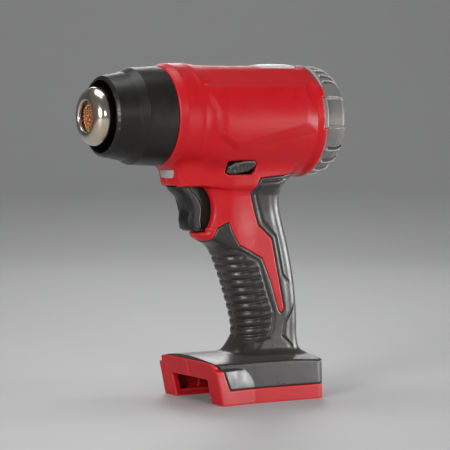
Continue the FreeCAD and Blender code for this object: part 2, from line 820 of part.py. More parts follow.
in_halves("housing", housing())
for skin_name, pocket in skin_pockets().items():
    whole = foot_form(0, 0) if skin_name == "foot_cover" else grip_form(0)
    in_halves(skin_name, whole.common(pocket))
build_nozzle()
build_collar()
build_heater()
build_air_path()
build_motor()
build_fan()
build_rear_cap()
build_intake_screen()
build_trigger()
build_switch()
build_lock_shuttle()
build_light()
build_electrics()
build_screws()
build_top_insert()
doc.recompute()

for obj in doc.Objects:
    if {"Invalid", "Error"} & set(obj.State):
        raise RuntimeError(f"{obj.Label} failed: {obj.State}")
for name, obj in nodes.items():
    if obj.Shape.isNull() or not obj.Shape.isValid():
        raise RuntimeError(f"{name} has no valid shape")

os.makedirs("parts", exist_ok=True)
for name, obj in nodes.items():
    obj.Shape.exportStep(f"parts/{name}.step")
    solids = len(obj.Shape.Solids)
    print(f"{name}: {obj.Shape.Volume:.0f} mm3 in {solids} solid(s)")
print(len(nodes), "nodes")
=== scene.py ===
"""Visual model of a cordless heat gun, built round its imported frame. Blender 4.5."""
import json
import math

import bpy
import numpy as np
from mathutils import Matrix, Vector


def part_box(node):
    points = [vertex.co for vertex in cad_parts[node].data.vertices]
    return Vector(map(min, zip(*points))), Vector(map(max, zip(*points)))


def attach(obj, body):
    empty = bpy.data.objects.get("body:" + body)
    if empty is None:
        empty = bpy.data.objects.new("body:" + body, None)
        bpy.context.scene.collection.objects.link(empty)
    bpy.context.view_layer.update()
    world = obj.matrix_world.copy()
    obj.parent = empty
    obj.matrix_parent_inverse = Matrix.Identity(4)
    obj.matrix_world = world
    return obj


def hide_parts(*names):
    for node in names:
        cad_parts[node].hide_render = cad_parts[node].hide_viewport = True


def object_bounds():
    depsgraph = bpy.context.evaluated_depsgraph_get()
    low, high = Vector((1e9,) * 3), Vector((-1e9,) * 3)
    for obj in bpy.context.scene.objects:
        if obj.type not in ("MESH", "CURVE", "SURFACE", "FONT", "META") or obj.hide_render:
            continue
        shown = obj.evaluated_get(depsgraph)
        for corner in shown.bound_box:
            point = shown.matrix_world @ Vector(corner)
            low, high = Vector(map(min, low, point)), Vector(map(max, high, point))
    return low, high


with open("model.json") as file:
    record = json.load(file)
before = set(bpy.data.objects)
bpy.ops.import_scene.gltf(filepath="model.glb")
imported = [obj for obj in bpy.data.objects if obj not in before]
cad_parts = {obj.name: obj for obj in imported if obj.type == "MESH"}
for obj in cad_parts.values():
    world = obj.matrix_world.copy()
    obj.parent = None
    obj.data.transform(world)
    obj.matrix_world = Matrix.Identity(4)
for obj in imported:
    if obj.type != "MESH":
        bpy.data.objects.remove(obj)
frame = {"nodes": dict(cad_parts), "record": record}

CAD_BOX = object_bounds()
MM = 0.001
STEP = 0.62  # grid spacing of the moulded shells, mm
FINE_STEP = 0.4  # and of the small moulded pieces
LATHE_SEGMENTS = 256

# Driving sizes in millimetres, the same as the frame's. X runs to the rear and Z up, and the
# housing's halves part at Y = 0.
AXIS_Z = 178.0  # height of the nozzle's axis
REAR_Z = 175.0  # height of the barrel's and the intake cap's axis
OUTLET_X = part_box("nozzle")[0][0] / MM
BARREL_REAR = 67.5
PLUNGER_Z = 119.0  # height of the switch plunger and the trigger's spring


# ------------------------------------------------------------------ signed distance fields


def ramp(value, start, end):
    """0 up to start, 1 from end on, and straight between them."""
    return np.clip((value - start) / (end - start), 0.0, 1.0)


def ease(value, start, end):
    """A ramp with soft ends."""
    t = ramp(value, start, end)
    return t * t * (3.0 - 2.0 * t)


def union(a, b, soft):
    """The union of two fields, with a fillet about as wide as soft."""
    h = np.maximum(soft - np.abs(a - b), 0.0) / soft
    return np.minimum(a, b) - h * h * soft * 0.25


def both(a, b, soft=0.8):
    """The intersection of two fields, with a rounded edge."""
    return -union(-a, -b, soft)


def without(a, b, soft=0.6):
    """The first field with the second cut away, with a rounded edge."""
    return both(a, -b, soft)


def outline(u, v, corners):
    """Signed distance to a closed polygon."""
    nearest = np.full(np.shape(u), 1e9, dtype=np.float32)
    inside = np.zeros(np.shape(u), dtype=bool)
    for (ax, ay), (bx, by) in zip(corners, corners[1:] + corners[:1]):
        ex, ey = bx - ax, by - ay
        wx, wy = u - ax, v - ay
        t = np.clip((wx * ex + wy * ey) / (ex * ex + ey * ey), 0.0, 1.0)
        nearest = np.minimum(nearest, (wx - ex * t) ** 2 + (wy - ey * t) ** 2)
        if ey:
            crosses = (v >= min(ay, by)) & (v < max(ay, by)) & (wx < wy * ex / ey)
            inside ^= crosses
    distance = np.sqrt(nearest)
    return np.where(inside, -distance, distance)


def slab(u, v, half_u, half_v, corner):
    """Signed distance to a rounded rectangle about the origin."""
    qu = np.abs(u) - (half_u - corner)
    qv = np.abs(v) - (half_v - corner)
    return np.hypot(np.maximum(qu, 0), np.maximum(qv, 0)) + np.minimum(np.maximum(qu, qv), 0) - corner


def curve(value, knots):
    """A smooth curve through (position, value) knots."""
    at = np.array([k[0] for k in knots], dtype=float)
    to = np.array([k[1] for k in knots], dtype=float)
    slopes = np.gradient(to, at)
    i = np.clip(np.searchsorted(at, value) - 1, 0, len(at) - 2)
    width = at[i + 1] - at[i]
    t = np.clip((value - at[i]) / width, 0.0, 1.0)
    t2, t3 = t * t, t * t * t
    return ((2 * t3 - 3 * t2 + 1) * to[i] + (t3 - 2 * t2 + t) * width * slopes[i]
            + (3 * t2 - 2 * t3) * to[i + 1] + (t3 - t2) * width * slopes[i + 1])


# ------------------------------------------------------------------ meshes from fields


def sample(field, xs, ys, zs):
    """The field on a grid, worked out exactly only near the surface."""
    block = 4
    coarse = [axis[::block] for axis in (xs, ys, zs)]
    grid = np.meshgrid(*coarse, indexing="ij")
    rough = field(*[g.astype(np.float32) for g in grid])
    reach = block * (xs[1] - xs[0]) * 1.15
    near = np.abs(rough) < reach
    for axis in range(3):
        for shift in (1, -1):
            near |= np.roll(near, shift, axis)
    full = np.repeat(np.repeat(np.repeat(rough, block, 0), block, 1), block, 2)
    mask = np.repeat(np.repeat(np.repeat(near, block, 0), block, 1), block, 2)
    full = full[:len(xs), :len(ys), :len(zs)].astype(np.float32)
    i, j, k = np.nonzero(mask[:len(xs), :len(ys), :len(zs)])
    full[i, j, k] = field(xs[i], ys[j], zs[k])
    return full


def net(field, low, high, step):
    """Points and quads of a field's surface, by surface nets, then settled onto it."""
    counts = [int(math.ceil((b - a) / step / 4)) * 4 + 1 for a, b in zip(low, high)]
    xs, ys, zs = [(a + step * np.arange(n)).astype(np.float32) for a, n in zip(low, counts)]
    values = sample(field, xs, ys, zs)
    inside = values < 0
    total = np.zeros([n - 1 for n in counts], dtype=np.int8)
    corners = [(a, b, c) for a in (0, 1) for b in (0, 1) for c in (0, 1)]
    cells = [n - 1 for n in counts]
    for a, b, c in corners:
        total += inside[a:a + cells[0], b:b + cells[1], c:c + cells[2]]
    active = (total > 0) & (total < 8)
    i, j, k = np.nonzero(active)
    corner_values = {c: values[i + c[0], j + c[1], k + c[2]] for c in corners}
    sums = np.zeros((len(i), 3))
    crossings = np.zeros(len(i))
    for start in corners:
        for axis in range(3):
            if start[axis]:
                continue
            end = tuple(1 if n == axis else s for n, s in enumerate(start))
            va, vb = corner_values[start], corner_values[end]
            cut = (va < 0) != (vb < 0)
            t = np.where(cut, va / np.where(cut, va - vb, 1.0), 0.0)
            for n in range(3):
                sums[:, n] += np.where(cut, start[n] + (t if n == axis else 0.0), 0.0)
            crossings += cut
    points = np.stack([xs[i], ys[j], zs[k]], 1) + step * sums / crossings[:, None]
    points = settle(field, points, step)

    number = np.full(active.shape, -1, dtype=np.int32)
    number[i, j, k] = np.arange(len(i))
    quads = []
    for axis in range(3):
        u, v = (axis + 1) % 3, (axis + 2) % 3
        first = [slice(1, -1)] * 3
        second = [slice(1, -1)] * 3
        first[axis] = slice(0, -1)
        second[axis] = slice(1, None)
        a, b = inside[tuple(first)], inside[tuple(second)]
        at = np.nonzero(a != b)
        place = [at[n] + (0 if n == axis else 1) for n in range(3)]
        leaving = a[at]
        around = []
        for du, dv in ((1, 1), (0, 1), (0, 0), (1, 0)):
            cell = list(place)
            cell[u] = place[u] - du
            cell[v] = place[v] - dv
            around.append(number[cell[0], cell[1], cell[2]])
        quad = np.stack(around, 1)
        quad[~leaving] = quad[~leaving][:, ::-1]
        quads.append(quad)
    return points, np.concatenate(quads)


def settle(field, points, step):
    """Move points onto the field's surface, a short way."""
    start = points.copy()
    reach = 0.05
    for _ in range(3):
        x, y, z = points.T
        value = field(x, y, z)
        slope = np.stack([
            field(x + reach, y, z) - field(x - reach, y, z),
            field(x, y + reach, z) - field(x, y - reach, z),
            field(x, y, z + reach) - field(x, y, z - reach),
        ], 1) / (2 * reach)
        size = np.maximum((slope ** 2).sum(1), 0.25)
        points = points - 0.9 * slope * (value / size)[:, None]
        move = points - start
        far = np.linalg.norm(move, axis=1, keepdims=True)
        points = start + move * np.minimum(1.0, 0.6 * step / np.maximum(far, 1e-9))
    return points


def add_mesh(name, points, faces, material, smooth=True):
    """A mesh object from points in millimetres."""
    mesh = bpy.data.meshes.new(name)
    mesh.from_pydata((np.asarray(points) * MM).tolist(), [], [list(map(int, f)) for f in faces])
    mesh.validate()
    mesh.update()
    if smooth:
        mesh.polygons.foreach_set("use_smooth", [True] * len(mesh.polygons))
    obj = bpy.data.objects.new(name, mesh)
    bpy.context.scene.collection.objects.link(obj)
    mesh.materials.append(material)
    return obj


def moulded(name, field, low, high, material, body, nodes, step=STEP):
    """A piece from a field, riding on a body and standing for CAD nodes."""
    points, quads = net(field, low, high, step)
    obj = add_mesh(name, points, quads, material)
    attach(obj, body)
    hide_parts(*nodes)


# ------------------------------------------------------------------ materials


class Paint:
    """A Principled material with a few helpers for its node tree."""

    def __init__(self, name, **constants):
        self.material = bpy.data.materials.new(name)
        self.material.use_nodes = True
        self.tree = self.material.node_tree
        self.shader = self.tree.nodes["Principled BSDF"]
        self.place = self.tree.nodes.new("ShaderNodeTexCoord").outputs["Object"]
        for socket, value in constants.items():
            self.shader.inputs[socket.replace("_", " ")].default_value = value

    def node(self, kind, **settings):
        node = self.tree.nodes.new(kind)
        for key, value in settings.items():
            if key in node.inputs:
                node.inputs[key].default_value = value
            else:
                setattr(node, key, value)
        return node

    def link(self, output, socket):
        self.tree.links.new(output, socket)

    def noise(self, scale, detail=3.0, roughness=0.55, stretch=None):
        node = self.node("ShaderNodeTexNoise", Scale=scale, Detail=detail, Roughness=roughness)
        place = self.place
        if stretch:
            mapping = self.node("ShaderNodeMapping")
            mapping.inputs["Scale"].default_value = stretch
            self.link(place, mapping.inputs["Vector"])
            place = mapping.outputs["Vector"]
        self.link(place, node.inputs["Vector"])
        return node.outputs["Fac"]

    def span(self, value, from_low, from_high, to_low, to_high):
        node = self.node("ShaderNodeMapRange")
        for key, number in zip(("From Min", "From Max", "To Min", "To Max"),
                               (from_low, from_high, to_low, to_high)):
            node.inputs[key].default_value = number
        self.link(value, node.inputs["Value"])
        return node.outputs["Result"]

    def mix(self, factor, low, high):
        node = self.node("ShaderNodeMix", data_type="RGBA")
        self.link(factor, node.inputs["Factor"])
        for socket, colour in ((node.inputs[6], low), (node.inputs[7], high)):
            if isinstance(colour, tuple):
                socket.default_value = (*colour, 1.0)
            else:
                self.link(colour, socket)
        return node.outputs[2]

    def colour(self, output):
        self.link(output, self.shader.inputs["Base Color"])

    def rough(self, output):
        self.link(output, self.shader.inputs["Roughness"])

    def bump(self, *heights):
        """Bumps, each (output, strength, depth in metres), one on the other."""
        normal = None
        for output, strength, depth in heights:
            node = self.node("ShaderNodeBump", Strength=strength, Distance=depth)
            self.link(output, node.inputs["Height"])
            if normal:
                self.link(normal, node.inputs["Normal"])
            normal = node.outputs["Normal"]
        self.link(normal, self.shader.inputs["Normal"])

    def edges(self, width):
        """0 on flat stretches, towards 1 on outer edges, from the mesh's pointiness."""
        geometry = self.node("ShaderNodeNewGeometry")
        return self.span(geometry.outputs["Pointiness"], 0.5 + width, 0.5 + 3 * width, 0.0, 1.0)


def plastic(name, dark, light, rough, gloss=0.4, worn=None):
    """Moulded plastic: spark-eroded grain, faint mottling and paler worn edges."""
    paint = Paint(name, Specular_IOR_Level=gloss)
    mottle = paint.noise(45.0, 4.0)
    base = paint.mix(mottle, dark, light)
    if worn:
        base = paint.mix(paint.edges(0.012), base, worn)
    paint.colour(base)
    paint.rough(paint.span(paint.noise(160.0, 5.0), 0.3, 0.7, rough - 0.05, rough + 0.07))
    paint.bump((paint.noise(2600.0, 2.0, 0.6), 0.35, 0.00006), (paint.noise(60.0), 0.08, 0.0003))
    return paint.material


def rubber(name, dark, light, rough):
    """Overmoulded rubber: fine satin grain, paler dusty patches, slight sheen."""
    paint = Paint(name, Sheen_Weight=0.05, Sheen_Roughness=0.45, Specular_IOR_Level=0.50)
    dust = paint.span(paint.noise(70.0, 6.0, 0.65), 0.45, 0.8, 0.0, 1.0)
    paint.colour(paint.mix(dust, dark, light))
    paint.rough(paint.span(paint.noise(220.0, 4.0), 0.3, 0.7, rough - 0.05, rough + 0.06))
    paint.bump((paint.noise(3400.0, 2.0, 0.7), 0.45, 0.00005), (paint.noise(420.0), 0.12, 0.00012))
    return paint.material


def metal(name, colour, rough, tint=None, brushed=(1.0, 1.0, 1.0)):
    """Metal with faint smudges and fine marks, which brushed stretches along an axis."""
    paint = Paint(name, Metallic=1.0)
    marks = paint.noise(900.0, 4.0, 0.6, brushed)
    smudge = paint.noise(90.0, 5.0)
    base = paint.mix(smudge, tuple(c * 0.86 for c in colour), colour)
    if tint:
        base = paint.mix(paint.span(paint.noise(38.0, 3.0), 0.35, 0.75, 0.0, 0.8), base, tint)
    paint.colour(base)
    paint.rough(paint.span(marks, 0.25, 0.75, rough * 0.75, rough * 1.35))
    paint.bump((marks, 0.1, 0.00003))
    return paint.material


RED = plastic("red_nylon", (0.43, 0.004, 0.008), (0.50, 0.006, 0.012), 0.38, gloss=0.28,
              worn=(0.60, 0.03, 0.03))
CHARCOAL = plastic("charcoal_plastic", (0.030, 0.028, 0.026), (0.045, 0.042, 0.040), 0.42,
                   worn=(0.12, 0.11, 0.10))
BLACK = plastic("black_plastic", (0.007, 0.006, 0.006), (0.012, 0.011, 0.010), 0.36, gloss=0.35)
GREY = plastic("grey_plastic", (0.135, 0.130, 0.128), (0.165, 0.160, 0.157), 0.38, worn=(0.34, 0.33, 0.32))
PALE = plastic("pale_grey_plastic", (0.48, 0.47, 0.46), (0.55, 0.54, 0.53), 0.35)
DUCT = plastic("duct_nylon", (0.02, 0.02, 0.02), (0.035, 0.035, 0.035), 0.55)
RIBBED = rubber("ribbed_rubber", (0.020, 0.019, 0.018), (0.045, 0.043, 0.041), 0.50)
SKIN = rubber("grey_soft_skin", (0.024, 0.021, 0.020), (0.036, 0.032, 0.030), 0.31)
DOME = metal("polished_stainless", (0.78, 0.74, 0.70), 0.17, tint=(0.70, 0.52, 0.36),
             brushed=(0.2, 1.0, 1.0))
STEEL = metal("bright_steel", (0.60, 0.60, 0.60), 0.30)
BRONZE = metal("sintered_bronze", (0.55, 0.36, 0.17), 0.42)
COPPER = metal("copper", (0.80, 0.42, 0.24), 0.30)
IRON = metal("iron_laminations", (0.20, 0.20, 0.21), 0.45)
LENS = plastic("frosted_lens", (0.30, 0.27, 0.27), (0.38, 0.35, 0.35), 0.30)
SHIELD = plastic("heat_shield_black", (0.007, 0.006, 0.005), (0.012, 0.010, 0.009), 0.38, gloss=0.34,
                 worn=(0.10, 0.09, 0.08))
MICA = plastic("mica_board", (0.42, 0.33, 0.20), (0.60, 0.50, 0.34), 0.5)
WIRE = metal("heater_wire", (0.80, 0.30, 0.10), 0.35, tint=(0.35, 0.22, 0.18))
CERAMIC = plastic("ceramic", (0.70, 0.67, 0.60), (0.80, 0.77, 0.70), 0.45)
BOARD = plastic("circuit_board", (0.02, 0.12, 0.05), (0.03, 0.17, 0.07), 0.30)
FLOOR = Paint("pale_floor", Roughness=0.6).material
FLOOR.node_tree.nodes["Principled BSDF"].inputs["Base Color"].default_value = (0.50, 0.50, 0.50, 1)


# The material of each of the record's slots.
CAD_PAINT = {
    "red_plastic": RED, "grip_rubber": RIBBED, "grey_skin": SKIN, "black_plastic": BLACK,
    "grey_plastic": GREY, "light_grey_plastic": PALE, "stainless": DOME, "steel": STEEL, "mica": MICA,
    "heater_wire": WIRE, "duct_plastic": DUCT, "bronze": BRONZE, "ferrite": IRON, "copper": COPPER,
    "fuse_parts": CERAMIC, "lens": LENS, "circuit_board": BOARD,
}


def paint_cad():
    """Give every carried-over CAD node its slot's material."""
    for part in frame["record"]["subparts"]:
        obj = frame["nodes"][part["node"]]
        obj.data.materials.clear()
        obj.data.materials.append(CAD_PAINT[part["material_slot"]])


# ------------------------------------------------------------------ the housing's outer form

CHIN_FRONT = -31.4
# The grip at each height: (Z, X) of its front and of its rear, and (Z, half-width).
GRIP_FRONT = [(24, 13.0), (31, 15.5), (37.6, 19.6), (45.8, 20.0), (55.5, 17.9), (65, 15.0), (79.8, 9.9),
              (93.9, 3.8), (104, -0.6), (111, -3.0), (118, -4.0), (126, -4.2), (134, -4.2), (150, -4.2)]
GRIP_REAR = [(24, 67.5), (31, 64.6), (38, 63.4), (46.7, 63.3), (59.6, 62.5), (72.5, 61.0), (85.5, 58.7),
             (101.7, 54.9), (112.6, 51.9), (122, 50.0), (128, 50.2), (132, 51.6), (136, 54.6),
             (139.5, 59.0), (143, 63.0), (150, 65.0)]
GRIP_HALF = [(24, 17.0), (40, 16.2), (70, 16.4), (100, 16.0), (118, 15.6), (130, 17.0), (150, 19.0)]

# The raised side panel's (X, Z) outline at the foot and at the top of its bevel.
PANEL_RISE = 1.65
PANEL_FOOT = [(-20, 198), (-11.9, 180), (-10.1, 166), (5.5, 156), (61.4, 167.8), (61.4, 180), (58.5, 190),
              (56.5, 198)]
PANEL_TOP = [(-16, 200), (-9.6, 181), (-7.7, 168.2), (4.4, 161), (52.4, 174.2), (53.6, 190), (54.5, 200)]


def barrel(x, y, z):
    """Front ring, faceted barrel with its raised side panels, and the rear rim."""
    wide = np.abs(y)
    up = z - AXIS_Z
    radius = np.hypot(y, up)
    ring = outline(x, radius, [(-35.4, -5), (-35.4, 30.2), (-34.6, 31.0), (-30.5, 32.7), (-18.5, 32.7),
                               (-6, 28.5), (-6, -5)])
    low = REAR_Z + 3.0 * (1.0 - ease(x, -20, -2))
    base = 31.8 + 2.85 * ease(x, -20, -4) + 1.6 * ease(x, 60.5, 65.5)
    at_foot = -outline(x, z, PANEL_FOOT)
    at_top = outline(x, z, PANEL_TOP)
    bevel = at_foot / (at_foot + np.maximum(at_top, 1e-3))
    raised = np.where(at_foot <= 0, 0.0, np.where(at_top <= 0, 1.0, bevel))
    round_form = np.hypot(y, z - low) - base - PANEL_RISE * raised
    over = z - REAR_Z
    facets = both(z - 209.3, 0.362 * wide + 0.932 * over - 34.15, 0.5)
    facets = both(facets, 0.532 * wide + 0.847 * over - 33.5, 0.35)
    body = both(round_form, facets, 0.5)
    body = both(body, -18.0 - x, 2.6)
    body = both(body, x - BARREL_REAR, 0.8)
    return union(ring, body, 3.5)


def neck(x, y, z):
    """The chin under the barrel's front and the body between barrel and grip."""
    wide = np.abs(y)
    side = outline(x, z, [(-34, 172), (-34, 139.6), (-29.2, 133.6), (42, 133.6), (50, 150), (50, 172)])
    face = (CHIN_FRONT + 0.2 * np.maximum(152 - z, 0) + 3.4 * (wide / 14.0) ** 2) - x
    half = curve(x, [(-40, 13.6), (-26, 14.0), (-14, 15.6), (4, 19.2), (20, 20.2), (60, 20.2)])
    return both(both(side, face, 1.2), wide - half, 3.0)


def grip(x, y, z):
    """The grip: nearly round at the front and back, with a narrow flat on each side."""
    front, rear, half = (curve(z, k) for k in (GRIP_FRONT, GRIP_REAR, GRIP_HALF))
    middle = (front + rear) / 2
    reach = (rear - front) / 2
    corner = half - 1.5
    form = slab(x - middle, y, reach, half, corner) * 0.96
    return both(form, np.maximum(22 - z, z - 152), 0.5)


def foot(x, y, z):
    """The battery foot: raked front, crowned top, lower front corners flared out."""
    wide = np.abs(y)
    crown = 28.9 - 3.0 * (wide / 31.0) ** 2 - 1.6 * ease(x, 40, 70)
    main_half = 33.4 - 0.045 * (z - 9.3) - 0.02 * (x - 16)
    front = (-9.0 - 0.215 * z) - x
    main = both(both(front, z - crown, 0.9), both(wide - main_half, x - 68.1, 5.5), 1.2)
    line = 15.8 - 10.0 * ramp(z, 9, 24) ** 2
    flare_half = main_half + 3.2 * np.clip((line - x) / (line + 11.0), 0.0, 1.15)
    flare_side = both(wide - flare_half, z - 22.4 - 0.25 * (33 - wide), 1.0)
    flare = both(both(front, x - line, 0.5), flare_side, 0.8)
    flare = both(flare, 20.0 - wide, 0.5)
    return both(np.minimum(main, flare), -z, 0.6)


# The throat round the trigger in side view: the solid behind and below it, and the space cut from that.
CHEEK = [(-16, 134), (-16, 106.5), (-9.6, 106.5), (-9.9, 104.4), (-8.8, 102.2), (-4.6, 99.7), (8, 94),
         (30, 90), (44, 90), (44, 134)]
THROAT = [(-45, 133.4), (-11.2, 133.4), (-7.6, 132.8), (-4.9, 130.8), (-3.0, 127.2), (-1.9, 122.6),
          (-1.8, 118), (-2.6, 113.4), (-4.2, 109.6), (-6.6, 106.9), (-10.5, 106.0), (-45, 106.0)]


def cheeks(x, y, z):
    """The two sides of the throat behind the trigger, and the hook below it."""
    half = curve(x, [(-20, 12.6), (-9, 12.8), (-3, 13.4), (6, 15.2), (14, 15.6), (22, 14.6), (30, 12.4),
                     (44, 6.0)])
    low = 1.0 - ease(z, 106, 110)
    return both(outline(x - 0.034 * y * y * low, z, CHEEK), np.abs(y) - half, 3.0)


def whole(x, y, z):
    """The tool's closed outer form, before any opening or seam."""
    form = union(barrel(x, y, z), neck(x, y, z), 5.0)
    form = union(form, grip(x, y, z), 6.0)
    form = union(form, cheeks(x, y, z), 3.0)
    form = without(form, outline(x, z, THROAT), 3.4)
    return union(form, foot(x, y, z), 5.0)


# The overmoulded skin's outline in side view: grip front, grip back and foot in one.
SKIN_EDGE = [(-14, 98.2), (-3, 99.8), (0.6, 108.4), (7.4, 112.2), (10.2, 105.5), (14.6, 97.6),
             (31.4, 88.9), (37.6, 74), (43.8, 55.2), (45.5, 53.4), (47.8, 56.4), (43.2, 78),
             (38.6, 100.8), (29.0, 109.7), (22.4, 129.9), (27.7, 139.4), (57.5, 142.0), (80, 124),
             (80, 9.4), (-3.4, 9.4), (-8.0, 21.6), (-13.2, 26.0), (-18, 30)]
SKIN_DEPTH = 2.4
SEAM = 0.25  # gap all round between the skin and the red halves
WALL = 4.4  # depth of the halves' inner face below the outer form
# The skin's grooves in side view, and the ribbed field that the front one borders.
FRONT_GROOVE = [(10.2, 94.9), (15.3, 94.1), (28.4, 87.0), (29.9, 85.1), (35.0, 68.5), (40.2, 54.3),
                (38.8, 43.0), (36.6, 38.7), (28.5, 36.6)]
BACK_GROOVE = [(60, 139.2), (28.9, 137.0), (26.3, 129.8), (32.2, 111.5), (41.4, 102.4), (46.3, 77.6),
               (51.2, 73.2)]
LOW_GROOVE = [(56, 57.4), (48.3, 47.5), (46.8, 38.7), (54, 32.2)]
GROOVE_DEPTH = 0.9
RIB_ZONE = [(-14, 93.5)] + FRONT_GROOVE + [(4, 36.6), (4, 60), (-14, 88)]
RIB_PITCH = 5.2
RIB_DEPTH = 1.05
# The lock shuttle's window and the housing screws' places, (X, Z).
WINDOW = [(2.6, 149.6), (5, 150.4), (21, 150.4), (23.4, 148), (23.4, 144), (21, 141.6), (5, 141.6),
          (2.6, 143)]
SCREWS = [(-22, 202.5), (40, 203.5), (-20, 152), (40, 148), (8, 98), (21.5, 66), (30, 36), (60, 14),
          (-4, 22)]
WELL_RADIUS = 3.0
WELL_FLOOR = 6.0  # Y of the screws' heads
SLOT_HALF = 8.45  # half-width of the trigger's slot


def along(u, v, points):
    """Distance to an open line through points."""
    nearest = np.full(np.shape(u), 1e9, dtype=np.float32)
    for (ax, ay), (bx, by) in zip(points[:-1], points[1:]):
        ex, ey = bx - ax, by - ay
        t = np.clip(((u - ax) * ex + (v - ay) * ey) / (ex * ex + ey * ey), 0.0, 1.0)
        nearest = np.minimum(nearest, (u - ax - ex * t) ** 2 + (v - ay - ey * t) ** 2)
    return np.sqrt(nearest)


def openings(x, y, z):
    """What the housing leaves open: seats, trigger slot, shuttle's and light's windows, mouth."""
    wide = np.abs(y)
    front = both(np.hypot(y, z - AXIS_Z) - 28.2, x + 20, 0.5)
    rear = both(np.hypot(y, z - REAR_Z) - 32.6, 60 - x, 0.5)
    slot = both(wide - SLOT_HALF, np.maximum(np.abs(z - 120.5) - 14.5, np.abs(x + 9.5) - 18.5), 0.5)
    window = np.maximum(outline(x, z, WINDOW), 14 - wide)
    light = np.maximum(np.maximum(np.abs(z - 142.2) - 2.8, wide - 8.8 - 0.35 * (z - 139.5)), x + 28.4)
    insert = np.maximum(slab(x - 47.5, y, 13.65, 9.15, 2.2), 207.8 - z)
    mouth = np.maximum(slab(wide, z, 22.3, 15.2, 1.0), np.maximum(x - 50, -30 - x))
    rails = np.maximum(np.minimum(np.maximum(wide - 26, np.abs(z - 6.6) - 2.3),
                                  np.maximum(wide - 25, np.abs(z - 12.3) - 1.7)), np.abs(x - 22.5) - 27.5)
    hole = front
    for part in (rear, slot, window, light, insert, mouth, rails):
        hole = np.minimum(hole, part)
    return hole


def wells(x, y, z):
    """Screw wells, sunk from the +Y side down to the screws' heads."""
    hole = np.full(np.shape(x), 1e3, dtype=np.float32)
    for sx, sz in SCREWS:
        hole = np.minimum(hole, np.maximum(np.hypot(x - sx, z - sz) - WELL_RADIUS, WELL_FLOOR - y))
    return hole


def cap_step(x, y, z):
    """The notch in the rear rim that the cap's side blocks reach into."""
    lean = 0.35 * (x - 66)
    return np.maximum(np.maximum(65.4 - x, z - 189.6 - lean), 170.2 + lean - z)


def housing(x, y, z):
    """The red halves as a shell: recessed for the skin, and opened where the tool is open."""
    form = whole(x, y, z)
    pocket = np.maximum(outline(x, z, SKIN_EDGE) - SEAM, -(form + SKIN_DEPTH))
    shell = without(form, pocket, 0.5)
    shell = both(shell, -(form + WALL), 0.3)
    shell = without(shell, openings(x, y, z), 1.0)
    return without(shell, cap_step(x, y, z), 0.4)


def skin(x, y, z):
    """The rubber skin with its ribs, grooves and softly rounded rim."""
    form = whole(x, y, z)
    ribs_at = -outline(x, z, RIB_ZONE)
    wave = np.abs(np.sin(math.pi * (z - 0.13 * x) / RIB_PITCH))
    outer = form + RIB_DEPTH * (1.0 - wave) ** 1.4 * ease(ribs_at, 0.6, 4.0) + 0.2 * ease(ribs_at, 0.0, 0.8)
    for groove in (FRONT_GROOVE, BACK_GROOVE, LOW_GROOVE):
        outer = outer + GROOVE_DEPTH * np.exp(-((along(x, z, groove) / 0.55) ** 2))
    sheet = both(outer, outline(x, z, SKIN_EDGE), 0.8)
    return both(sheet, -(form + SKIN_DEPTH - 0.05), 0.2)


def side_of(field, sign):
    """The half of a field on the side of sign, parted at Y = 0; the right half has the screw wells."""
    def half(x, y, z):
        value = both(field(x, y, z), 0.03 - sign * y, 0.08)
        return without(value, wells(x, y, z), 0.4) if sign > 0 else value
    return half


def build_shells():
    """Both halves of the red housing, and both halves of its skin."""
    sides = (("left", -1, (-38, -38, -1.5), (70, 1.5, 212.5)),
             ("right", 1, (-38, -1.5, -1.5), (70, 38, 212.5)))
    for side, sign, low, high in sides:
        moulded(f"housing_shell_{side}", side_of(housing, sign), low, high, RED, "housing",
                [f"housing_{side}"])
    for side, sign, low, high in sides:
        covered = [f"{node}_{side}" for node in ("front_grip", "rear_grip", "foot_cover")]
        moulded(f"skin_shell_{side}", side_of(skin, sign), low, high, SKIN, "housing", covered)


# ------------------------------------------------------------------ smaller moulded pieces

# The cap's louvre blocks: lowest angle, highest angle, and how proud the block stands at each, mm.
LOUVRES = [(-90, -78, -1.2, 0.4), (-78, -63, -1.2, 0.6), (-63, -47, -1.2, 0.7), (-47, -30.5, -1.1, 0.8),
           (-30.5, -7, -0.6, 1.2), (24, 43.5, 1.1, -0.6), (43.5, 53, 0.6, -1.2), (53, 62.5, 0.5, -1.2),
           (62.5, 72, 0.4, -1.2), (72, 81, 0.2, -1.2), (81, 90, 0.0, -1.2)]
SLITS = [-78, -63, -47, -30.5, 43.5, 53, 62.5, 72, 81]
CAP_BLOCK_Z = 179.9  # height of the middle of the cap's side block


